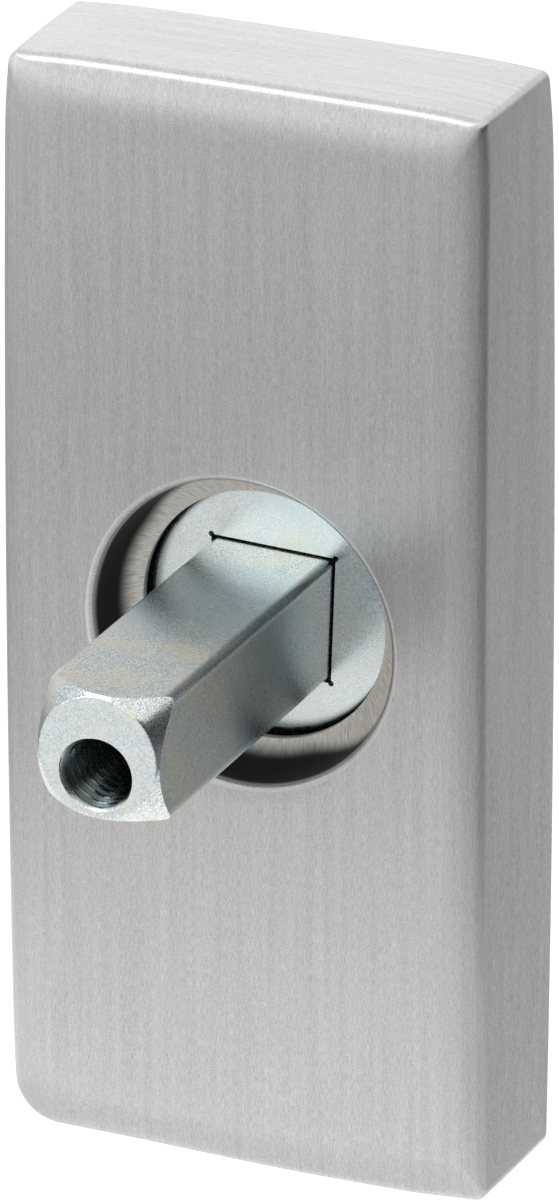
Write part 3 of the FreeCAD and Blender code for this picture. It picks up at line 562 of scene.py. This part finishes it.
def brightZincPlate(name, light, dark, tint, roughness, paintedShadeRing=None, bluePaintedReflection=None):
    # Bright zinc plating with a clear passivation: bluish white, fine frosted pebbles, faint olive clouds
    bumpMm = 0.014
    skin = dict(pebbles=(0.085, 2.0), frost=(0.2, 3.0), clouds=(2.4, 3.0))    # size in mm, detail
    material, tree, shader = newMaterial(name, {"Metallic": 1.0})
    place = addNode(tree, "ShaderNodeTexCoord").outputs["Object"]
    patterns = {}
    for key, (sizeMm, detail) in skin.items():
        noise = addNode(tree, "ShaderNodeTexNoise", {"Scale": 1 / (sizeMm * mm), "Detail": detail},
                        {"Vector": place})
        patterns[key] = noise.outputs["Fac"]
    both = addNode(tree, "ShaderNodeMix", {"data_type": "FLOAT", "Factor": 0.3},
                   {2: patterns["pebbles"], 3: patterns["frost"]})
    spread = addNode(tree, "ShaderNodeMapRange", {"From Min": 0.4, "From Max": 0.6},
                     {"Value": both.outputs[0]})
    cloudy = addNode(tree, "ShaderNodeMapRange", {"From Min": 0.45, "From Max": 0.65, "To Max": 0.6},
                     {"Value": patterns["clouds"]})
    layers = [(cloudy.outputs[0], tint)]                  # factor and colour of each layer over the last one
    if bluePaintedReflection:
        middle, half, blue = bluePaintedReflection                     # painted bluish reflection band: its middle and half width in mm behind the door plane, and its colour
        depth = addNode(tree, "ShaderNodeSeparateXYZ", links={0: place}).outputs[1]
        away = addNode(tree, "ShaderNodeMath", {"operation": "SUBTRACT", 1: middle * mm}, {0: depth})
        away = addNode(tree, "ShaderNodeMath", {"operation": "ABSOLUTE"}, {0: away.outputs[0]})
        near = addNode(tree, "ShaderNodeMapRange", {"From Min": half * mm, "From Max": 0.3 * half * mm},
                       {"Value": away.outputs[0]})
        layers.append((near.outputs[0], blue))
    if paintedShadeRing:
        centre, start, end, share = paintedShadeRing               # mm on the face: painted shade, a dark crescent round the rim about an off-centre point
        away = addNode(tree, "ShaderNodeVectorMath",
                       {"operation": "SUBTRACT", 1: (centre * mm, 0, centre * mm)}, {0: place})
        away = addNode(tree, "ShaderNodeVectorMath", {"operation": "MULTIPLY", 1: (1, 0, 1)},
                       {0: away.outputs[0]})
        away = addNode(tree, "ShaderNodeVectorMath", {"operation": "LENGTH"}, {0: away.outputs[0]})
        near = addNode(tree, "ShaderNodeMapRange",
                       {"interpolation_type": "SMOOTHSTEP", "From Min": start * mm, "From Max": end * mm,
                        "To Max": share}, {"Value": away.outputs["Value"]})
        layers.append((near.outputs[0], "#4A585C"))
    polished, paintedShade, matt = readFinish(tree)
    even = addNode(tree, "ShaderNodeMath", {"operation": "MULTIPLY", 1: 0.4}, {0: matt})
    # A lighter even tone where matt, then the painted shade
    layers += [(even.outputs[0], "#EDF5F5"), (paintedShade, "#32464A")]
    colour = addNode(tree, "ShaderNodeMix", {"data_type": "RGBA", 6: linear(dark), 7: linear(light)},
                     {0: spread.outputs[0]})
    for factor, shade in layers:
        colour = addNode(tree, "ShaderNodeMix", {"data_type": "RGBA", 7: linear(shade)},
                         {0: factor, 6: colour.outputs[2]})
    rough = addNode(tree, "ShaderNodeMapRange", {"From Min": 0.3, "From Max": 0.7,
                                                 "To Min": roughness - 0.05, "To Max": roughness + 0.05},
                    {"Value": patterns["frost"]})
    for factor, level in ((polished, 0.13), (matt, 0.55)):
        rough = addNode(tree, "ShaderNodeMix", {"data_type": "FLOAT", 3: level},
                        {0: factor, 2: rough.outputs[0]})
    bump = addNode(tree, "ShaderNodeBump", {"Strength": 0.5, "Distance": bumpMm * mm},
                   {"Height": both.outputs[0]})
    feed(tree, shader, {"Base Color": colour.outputs[2], "Roughness": rough.outputs[0],
                        "Normal": bump.outputs[0]})
    return material


def workedSurface(name, light, dark, roughness, patternMm, bumpMm, look):
    # One worked surface: a pattern of its own size along each axis in colour, gloss and height
    patchMm = 3.0
    material, tree, shader = newMaterial(name, look)
    place = addNode(tree, "ShaderNodeTexCoord").outputs["Object"]
    scale = tuple(1 / (size * mm) for size in patternMm)
    scaled = addNode(tree, "ShaderNodeMapping", {"Scale": scale}, {"Vector": place})
    grain = addNode(tree, "ShaderNodeTexNoise", {"Scale": 1.0, "Detail": 3.0}, {"Vector": scaled.outputs[0]})
    patches = addNode(tree, "ShaderNodeTexNoise", {"Scale": 1 / (patchMm * mm), "Detail": 2.0},
                      {"Vector": place})
    both = addNode(tree, "ShaderNodeMix", {"data_type": "FLOAT", "Factor": 0.35},
                   {2: grain.outputs["Fac"], 3: patches.outputs["Fac"]})
    spread = addNode(tree, "ShaderNodeMapRange", {"From Min": 0.35, "From Max": 0.65},
                     {"Value": both.outputs[0]})
    colour = addNode(tree, "ShaderNodeMix", {"data_type": "RGBA", 6: linear(dark), 7: linear(light)},
                     {0: spread.outputs[0]})
    rough = addNode(tree, "ShaderNodeMapRange", {"From Min": 0.3, "From Max": 0.7,
                                                 "To Min": roughness - 0.06, "To Max": roughness + 0.06},
                    {"Value": both.outputs[0]})
    bump = addNode(tree, "ShaderNodeBump", {"Strength": 0.5, "Distance": bumpMm * mm},
                   {"Height": grain.outputs["Fac"]})
    feed(tree, shader, {"Base Color": colour.outputs[2], "Roughness": rough.outputs[0],
                        "Normal": bump.outputs[0]})
    return material


steel = brushedStainlessSteel()
zincBar = brightZincPlate("zincPlatedDrawnSteel", "#FDFEFC", "#A9BABF", "#EDE9D4", 0.25,
                          bluePaintedReflection=(-15.5, 7, "#C2D5DE"))
zincBush = brightZincPlate("zincPlatedTurnedSteel", "#F8FCFC", "#D5E0E1", "#E2E6E0", 0.27,
                           paintedShadeRing=(0.45, 7.4, 7.95, 0.7))
zincSheet = brightZincPlate("zincPlatedSheetSteel", "#E6ECEC", "#C2CCCD", "#D6D8CC", 0.3)
zincFasteners = brightZincPlate("zincPlatedFasteners", "#ECF0F0", "#BFC8CA", "#DAD8C6", 0.24)
# Die-cast zinc: dull blue grey with flow marks and a faint sand-like skin
dieCastZinc = workedSurface("dieCastZinc", "#B4B8BA", "#8B9194", 0.52, (0.35, 0.35, 0.5), 0.02,
                            {"Metallic": 1.0})
# Oil-hardened spring steel: grey with a brown cast and fine drawing lines
springSteel = workedSurface("springSteel", "#A5A19B", "#6F6C68", 0.32, (0.08, 0.08, 0.9), 0.004,
                            {"Metallic": 1.0})
# Phosphated steel: near black, matt and speckled, with a trace of oil
phosphatedSteel = workedSurface("phosphatedSteel", "#3B3C3E", "#1B1C1E", 0.55, (0.1, 0.1, 0.1), 0.01,
                                {"Metallic": 0.6})
# Moulded acetal: creamy white, waxy and slightly mottled
mouldedAcetal = workedSurface("mouldedAcetal", "#F0EEE4", "#E2DFD2", 0.42, (0.6, 0.6, 0.6), 0.006,
                             {"IOR": 1.48})
print("materials made")

makeCover(steel)
makeSpindle(zincBar)


def dress(name, material):
    # Gives a carried-over node its finish
    for slot in nodes[name].material_slots:
        slot.link = "OBJECT"
        slot.material = material


finishes = {
    dieCastZinc: ("base_plate",), zincBush: ("bush",), mouldedAcetal: ("bearing_sleeve",),
    phosphatedSteel: ("retaining_ring",), zincSheet: ("rear_washer", "driver_plate", "spring_keeper"),
    springSteel: ("cross_pin", "return_spring", "upper_cover_clip", "lower_cover_clip"),
    zincFasteners: ("stop_pins", "spring_post", "keeper_screws", "clip_rivets"),
}
for material, names in finishes.items():
    for name in names:
        dress(name, material)
print("pieces made")


# Studio: pale floor, a ring of cards that only reflections see, and soft lamps

studio = dict(
    floorMm=-160.0, floorHalfMm=3000.0, floorColour="#F4F4F3", floorGlow=0.3, worldLight=0.8,
    cardRadiusMm=160.0, cardLowMm=-150.0, cardHighMm=110.0, cardColumns=241, cardRows=53,
    midLevel=0.62, highLevel=0.9, lowLevel=1.22, footLevel=0.95,
    # Where the next level blends in and over how many mm, upwards for the high one and downwards for the
    # others; at its foot the ring closes like a bowl, to this radius
    highBlend=(-46.0, 100.0), lowBlend=(70.0, 20.0), footBlend=(112.0, 16.0),
    bowlBlend=(130.0, 20.0), bowlMm=60.0,
    # Cards: middle and half width in degrees from the front, and glow
    midCards=((-34.0, 40.0, 0.62), (-88.0, 18.0, 0.42), (76.0, 48.0, 0.22), (157.0, 30.0, 0.79)),
    highCards=((-45.0, 52.0, 1.31), (75.0, 50.0, 0.08), (157.0, 28.0, 0.98), (-155.0, 30.0, 1.2)),
    lowCards=((76.0, 48.0, 0.78), (157.0, 34.0, 0.5)),
    cardFadeDeg=16.0,
    # Lamps: name, place and side in mm, and glow
    lamps=(("top_box", (-190, -190, 380), 230, 1.9), ("rear_box", (-170, 380, 260), 320, 0.35)),
)


def seenDirectly(tree):
    # 1 for what the camera, mirror images and clear parts show, 0 for what lights the object
    path = addNode(tree, "ShaderNodeLightPath")
    seen = path.outputs["Is Camera Ray"]
    for ray in ("Is Glossy Ray", "Is Transmission Ray"):
        seen = addNode(tree, "ShaderNodeMath", {"operation": "MAXIMUM"},
                       {0: seen, 1: path.outputs[ray]}).outputs[0]
    return seen


def makeFloor():
    s = studio
    look = {"Roughness": 0.9, "Base Color": linear(s["floorColour"]), "Emission Color": (1, 1, 1, 1)}
    material, tree, shader = newMaterial("paleFloor", look)
    glow = addNode(tree, "ShaderNodeMath", {"operation": "MULTIPLY", 1: s["floorGlow"]},
                   {0: seenDirectly(tree)})
    feed(tree, shader, {"Emission Strength": glow.outputs[0]})
    half = s["floorHalfMm"]
    corners = np.array([(-half, -half), (half, -half), (half, half), (-half, half)])
    points = np.column_stack([corners, np.full(4, s["floorMm"])]) * mm
    mesh = bpy.data.meshes.new("studio_floor")
    mesh.from_pydata(points, [], [(0, 1, 2, 3)])
    mesh.materials.append(material)
    floor = addObject("studio_floor", mesh)


def ringGlow(degrees, cards, level):
    # Glow by the angle from the front, where each card fades out at its sides
    glow = np.full(degrees.shape, level)
    for middle, half, strength in cards:
        away = np.abs((degrees - middle + 180) % 360 - 180)
        share = smooth((half - away) / studio["cardFadeDeg"] + 0.5)
        glow = glow * (1 - share) + strength * share
    return glow


def makeCards():
    # A ring of cards round the object that only its reflections see: three heights blended into each other
    s = studio
    degrees = np.linspace(-180, 180, s["cardColumns"])
    angle = np.radians(degrees)
    heights = np.linspace(s["cardLowMm"], s["cardHighMm"], s["cardRows"])[:, None]
    high = ramp(heights, *s["highBlend"])
    low, foot, bowl = (ramp(-heights, *s[blend]) for blend in ("lowBlend", "footBlend", "bowlBlend"))
    glow = ringGlow(degrees, s["midCards"], s["midLevel"]) * (1 - high)
    glow = (glow + ringGlow(degrees, s["highCards"], s["highLevel"]) * high) * (1 - low)
    glow = glow + ringGlow(degrees, s["lowCards"], s["lowLevel"]) * low
    glow = glow * (1 - foot) + s["footLevel"] * foot
    radius = s["cardRadiusMm"] - (s["cardRadiusMm"] - s["bowlMm"]) * bowl
    x, y, z = np.broadcast_arrays(radius * np.sin(angle), -radius * np.cos(angle), heights)
    points = np.stack([x, y, z], axis=-1) * mm
    mesh = bpy.data.meshes.new("studio_cards")
    mesh.from_pydata(points.reshape(-1, 3), [], gridQuads(*points.shape[:2]).tolist())
    level = mesh.attributes.new("glow", "FLOAT", "POINT")
    level.data.foreach_set("value", glow.astype(np.float32).ravel())
    material, tree, light = newMaterial("studioCards", {}, "ShaderNodeEmission")
    strength = addNode(tree, "ShaderNodeAttribute", {"attribute_name": "glow"})
    feed(tree, light, {"Strength": strength.outputs["Fac"]})
    mesh.materials.append(material)
    cards = addObject("studio_cards", mesh)
    cards.visible_camera = False
    cards.visible_diffuse = False
    cards.visible_shadow = False


def makeWorld():
    world = bpy.data.worlds.new("softStudio")
    bpy.context.scene.world = world
    world.use_nodes = True
    tree = world.node_tree
    tree.nodes.clear()
    level = addNode(tree, "ShaderNodeMapRange", {"To Min": studio["worldLight"], "To Max": 1.0},
                    {"Value": seenDirectly(tree)})
    light = addNode(tree, "ShaderNodeBackground", {"Color": (1, 1, 1, 1)}, {"Strength": level.outputs[0]})
    addNode(tree, "ShaderNodeOutputWorld", links={"Surface": light.outputs[0]})


def addLamp(name, placeMm, sizeMm, glow):
    # Square soft box aimed at the object; glow is the brightness of its face, where 1 is white
    lamp = bpy.data.lights.new(name, "AREA")
    lamp.shape = "SQUARE"
    lamp.size = sizeMm * mm
    lamp.energy = glow * math.pi * lamp.size ** 2
    holder = addObject(name, lamp)
    holder.location = Vector(placeMm) * mm
    holder.rotation_mode = "QUATERNION"
    holder.rotation_quaternion = (-holder.location).to_track_quat("-Z", "Y")


makeFloor()
makeCards()
makeWorld()
for lamp in studio["lamps"]:
    addLamp(*lamp)
print("studio made")


# Camera: placed by the cover's edges, the mouth and the spindle's edges in the photograph

camera = dict(placeMm=(306.427, -695.405, 310.114), turnDeg=(67.6922, 0.0968, 23.8849), lensMm=406.871)


def makeCamera():
    data = bpy.data.cameras.new("camera")
    data.lens = camera["lensMm"]
    data.sensor_width = 36.0
    data.sensor_fit = "AUTO"
    data.clip_start, data.clip_end = 0.01, 20.0
    holder = addObject("camera", data)
    holder.location = Vector(camera["placeMm"]) * mm
    holder.rotation_euler = Euler([math.radians(a) for a in camera["turnDeg"]], "XYZ")
    bpy.context.scene.camera = holder


makeCamera()
bpy.context.scene.view_settings.view_transform = "Standard"
